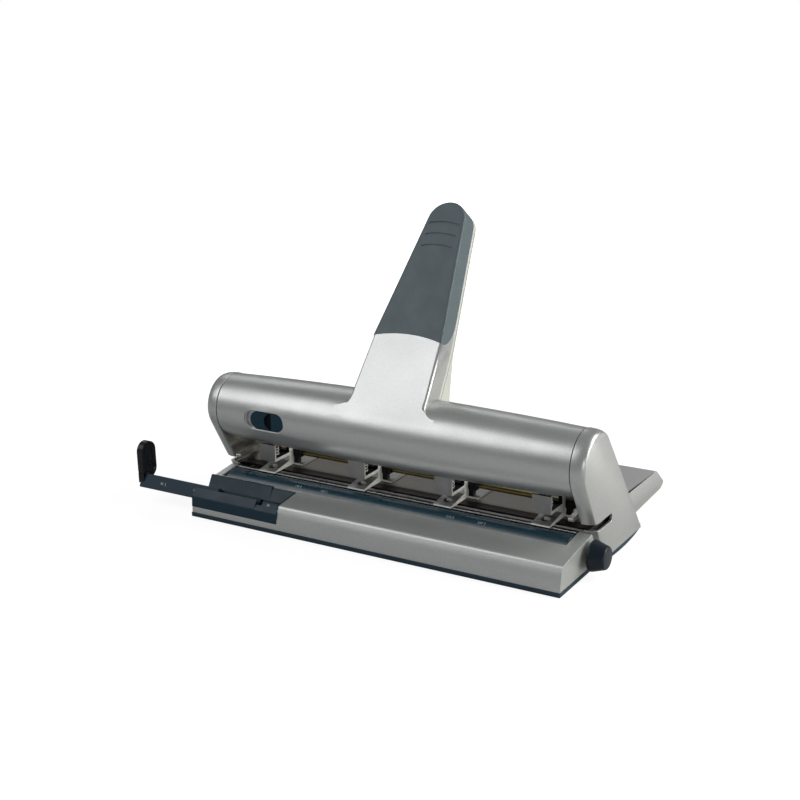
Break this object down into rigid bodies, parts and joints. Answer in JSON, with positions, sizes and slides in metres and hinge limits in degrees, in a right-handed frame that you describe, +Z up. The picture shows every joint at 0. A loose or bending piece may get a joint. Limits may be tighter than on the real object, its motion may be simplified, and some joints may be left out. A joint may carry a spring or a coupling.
{
  "type": "multi-hole punch",
  "caption": "Long-arm desk punch: pulling the lever turns a tube whose cams press sliding punch heads down through paper, over a chip tray that pulls out.",
  "frame": {"origin": "middle of the base rim's outline, on the desk", "axes": "+X to the right along the tube, +Y to the back, +Z up"},
  "size_m": [0.3893, 0.2098, 0.2377],
  "materials": {
    "silver_paint": "satin metallic silver",
    "pale_plastic": "satin light grey moulding",
    "slate_plastic": "fine matt slate",
    "rim_plastic": "dark moulding",
    "grip_rubber": "soft matt grip",
    "black_plastic": "satin black",
    "drum_blue": "satin petrol blue",
    "zinc_steel": "zinc plated",
    "bright_steel": "ground and bright",
    "spring_steel": "light spring wire",
    "brass": "drawn",
    "foot_rubber": "matt",
    "lid_plastic": "matt grey",
    "screw_steel": "zinc plated"
  },
  "bodies": {
    "base": {"base_pan": "rim_plastic", "rubber_feet": "foot_rubber", "base_screws": "screw_steel", "table_cover": "silver_paint", "front_rail": "zinc_steel", "floor_plate": "zinc_steel", "guide_rail": "brass", "frame_left": "zinc_steel", "frame_right": "zinc_steel", "cheek_left": "silver_paint", "cheek_right": "silver_paint", "tie_rod": "zinc_steel", "shaft_bushes": "brass", "column_bracket_left": "black_plastic", "column_bracket_right": "black_plastic", "guide_columns": "bright_steel", "guide_housing": "slate_plastic"},
    "lever": {"tube_cover": "silver_paint", "handle_back": "pale_plastic", "grip_pad": "grip_rubber", "handle_core": "zinc_steel", "lever_shaft": "bright_steel", "tube_hubs": "black_plastic", "cam_left": "zinc_steel", "cam_right": "zinc_steel", "lock_bezel": "slate_plastic"},
    "lock": {"lock_slider": "drum_blue"},
    "press": {"press_bar": "zinc_steel", "press_arm_left": "zinc_steel", "press_arm_right": "zinc_steel"},
    "drum": {"scale_drum": "drum_blue", "drum_shaft": "bright_steel", "drum_knob": "black_plastic"},
    "guide": {"guide_bar": "rim_plastic", "guide_paddle": "black_plastic"},
    "tray": {"chip_tray": "silver_paint", "chip_tray_lid": "lid_plastic"},
    "carriage_1": {"head_1": "zinc_steel", "clip_1": "black_plastic", "spring_1": "spring_steel"},
    "ram_1": {"punch_1": "bright_steel"},
    "carriage_2": {"head_2": "zinc_steel", "clip_2": "black_plastic", "spring_2": "spring_steel"},
    "ram_2": {"punch_2": "bright_steel"},
    "carriage_3": {"head_3": "zinc_steel", "clip_3": "black_plastic", "spring_3": "spring_steel"},
    "ram_3": {"punch_3": "bright_steel"},
    "carriage_4": {"head_4": "zinc_steel", "clip_4": "black_plastic", "spring_4": "spring_steel"},
    "ram_4": {"punch_4": "bright_steel"}
  },
  "joints": [
    {"name": "lever_swing", "type": "hinge", "parent": "base", "child": "lever", "pos_m": [0, -0.0177, 0.0788], "axis": [1, 0, 0], "range_deg": [0, 60], "stiffness_Nm_per_rad": 0.9, "springref_deg": -51.57},
    {"name": "press_slide", "type": "slide", "parent": "base", "child": "press", "axis": [0, 0, -1], "range_m": [0, 0.00701]},
    {"name": "lock_slide", "type": "slide", "parent": "lever", "child": "lock", "axis": [-1, 0, 0], "range_m": [0, 0.0034]},
    {"name": "drum_spin", "type": "hinge", "parent": "base", "child": "drum", "pos_m": [0, -0.026, 0.0152], "axis": [1, 0, 0], "continuous": true},
    {"name": "guide_slide", "type": "slide", "parent": "base", "child": "guide", "axis": [1, 0, 0], "range_m": [0, 0.04]},
    {"name": "tray_pull", "type": "slide", "parent": "base", "child": "tray", "axis": [0, 1, 0], "range_m": [0, 0.07]},
    {"name": "head_1_slide", "type": "slide", "parent": "base", "child": "carriage_1", "axis": [1, 0, 0], "range_m": [-0.006, 0.025]},
    {"name": "ram_1_slide", "type": "slide", "parent": "carriage_1", "child": "ram_1", "axis": [0, 0, -1], "range_m": [0, 0.00701], "deforming": ["spring_1"]},
    {"name": "head_2_slide", "type": "slide", "parent": "base", "child": "carriage_2", "axis": [1, 0, 0], "range_m": [-0.02, 0.025]},
    {"name": "ram_2_slide", "type": "slide", "parent": "carriage_2", "child": "ram_2", "axis": [0, 0, -1], "range_m": [0, 0.00701], "deforming": ["spring_2"]},
    {"name": "head_3_slide", "type": "slide", "parent": "base", "child": "carriage_3", "axis": [1, 0, 0], "range_m": [-0.025, 0.02]},
    {"name": "ram_3_slide", "type": "slide", "parent": "carriage_3", "child": "ram_3", "axis": [0, 0, -1], "range_m": [0, 0.00701], "deforming": ["spring_3"]},
    {"name": "head_4_slide", "type": "slide", "parent": "base", "child": "carriage_4", "axis": [1, 0, 0], "range_m": [-0.025, 0]},
    {"name": "ram_4_slide", "type": "slide", "parent": "carriage_4", "child": "ram_4", "axis": [0, 0, -1], "range_m": [0, 0.00701], "deforming": ["spring_4"]}
  ],
  "couplings": [
    {"joint": "press_slide", "follows": "lever_swing", "m_per_rad": 0.0066845},
    {"joint": "ram_1_slide", "follows": "lever_swing", "m_per_rad": 0.0066845},
    {"joint": "ram_2_slide", "follows": "lever_swing", "m_per_rad": 0.0066845},
    {"joint": "ram_3_slide", "follows": "lever_swing", "m_per_rad": 0.0066845},
    {"joint": "ram_4_slide", "follows": "lever_swing", "m_per_rad": 0.0066845}
  ]
}
